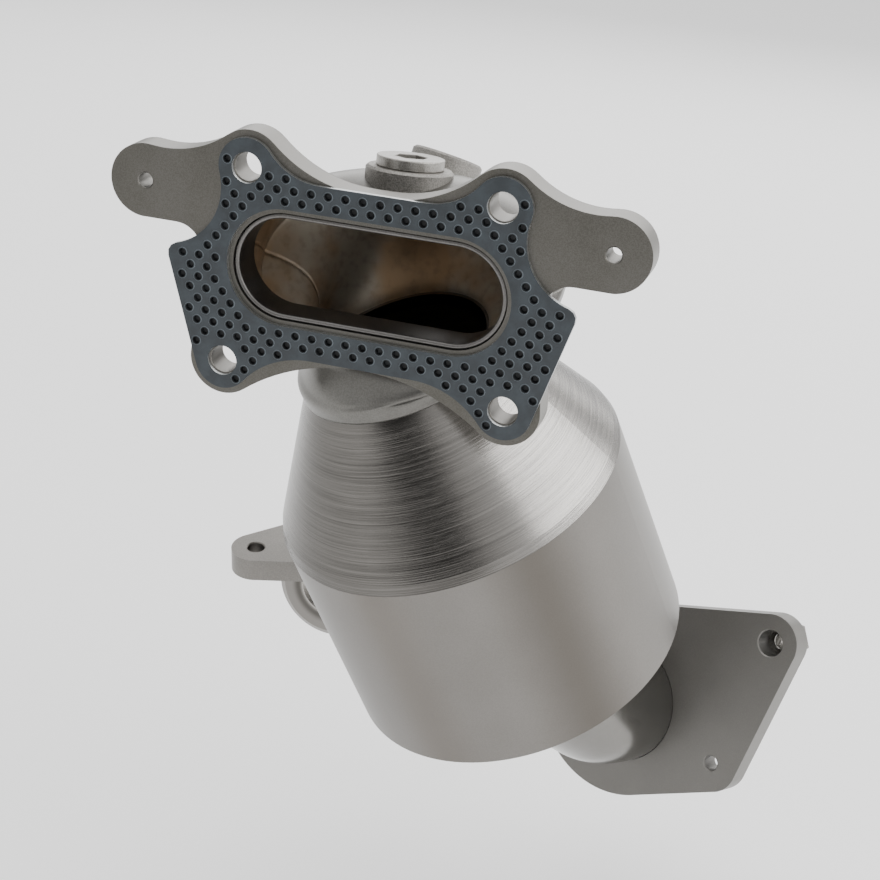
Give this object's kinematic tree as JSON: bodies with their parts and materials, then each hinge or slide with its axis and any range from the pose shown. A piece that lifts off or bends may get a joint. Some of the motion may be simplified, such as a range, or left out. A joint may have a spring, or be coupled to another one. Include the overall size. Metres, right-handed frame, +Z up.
{
  "type": "catalytic converter",
  "caption": "Manifold-mounted catalytic converter: oval-port inlet flange, bent plenum with sensor bosses, leaning round can and flanged outlet pipe.",
  "frame": {"origin": "centre of the inlet port on the front face of the inlet gasket", "axes": "+X along the long side of the inlet flange, +Y away from the engine, +Z up"},
  "size_m": [0.2386, 0.1872, 0.2918],
  "materials": {
    "inlet_gasket": "dimpled graphite facing on a steel core",
    "inlet_flange": "satin plate steel, warm mid grey",
    "port_sleeve": "formed sheet steel with a light lip",
    "plenum_rear_half": "pressed sheet steel, heat-browned inside",
    "plenum_front_half": "pressed sheet steel, heat-browned inside",
    "front_sensor_boss": "cast-like speckle, machined face",
    "sensor_boss_plug": "satin head, dark thread",
    "rear_sensor_boss": "cast-like speckle, machined face",
    "inlet_cone": "turning marks round the cone",
    "converter_shell": "satin steel with faint brown streaks",
    "support_mat": "ceramic fibre mat",
    "upper_mat_seal": "pressed wire mesh",
    "lower_mat_seal": "pressed wire mesh",
    "catalyst_brick": "washcoated honeycomb ceramic",
    "outlet_cone": "dished sheet steel",
    "outlet_pipe": "smooth glossy tube",
    "outlet_flange": "satin plate steel, warm mid grey",
    "outlet_weld_nut": "plain nut steel",
    "outlet_steel_ring": "turned ring with a bevel",
    "outlet_donut_gasket": "pressed graphite and wire, radial scratches",
    "side_bracket": "cut plate steel",
    "stay_pad": "dished steel pad"
  },
  "bodies": {
    "root": {"inlet_gasket": "inlet_gasket", "inlet_flange": "inlet_flange", "port_sleeve": "port_sleeve", "plenum_rear_half": "plenum_rear_half", "plenum_front_half": "plenum_front_half", "front_sensor_boss": "front_sensor_boss", "sensor_boss_plug": "sensor_boss_plug", "rear_sensor_boss": "rear_sensor_boss", "inlet_cone": "inlet_cone", "converter_shell": "converter_shell", "support_mat": "support_mat", "upper_mat_seal": "upper_mat_seal", "lower_mat_seal": "lower_mat_seal", "catalyst_brick": "catalyst_brick", "outlet_cone": "outlet_cone", "outlet_pipe": "outlet_pipe", "outlet_flange": "outlet_flange", "outlet_weld_nut": "outlet_weld_nut", "outlet_steel_ring": "outlet_steel_ring", "outlet_donut_gasket": "outlet_donut_gasket", "side_bracket": "side_bracket", "stay_pad": "stay_pad"}
  },
  "joints": []
}
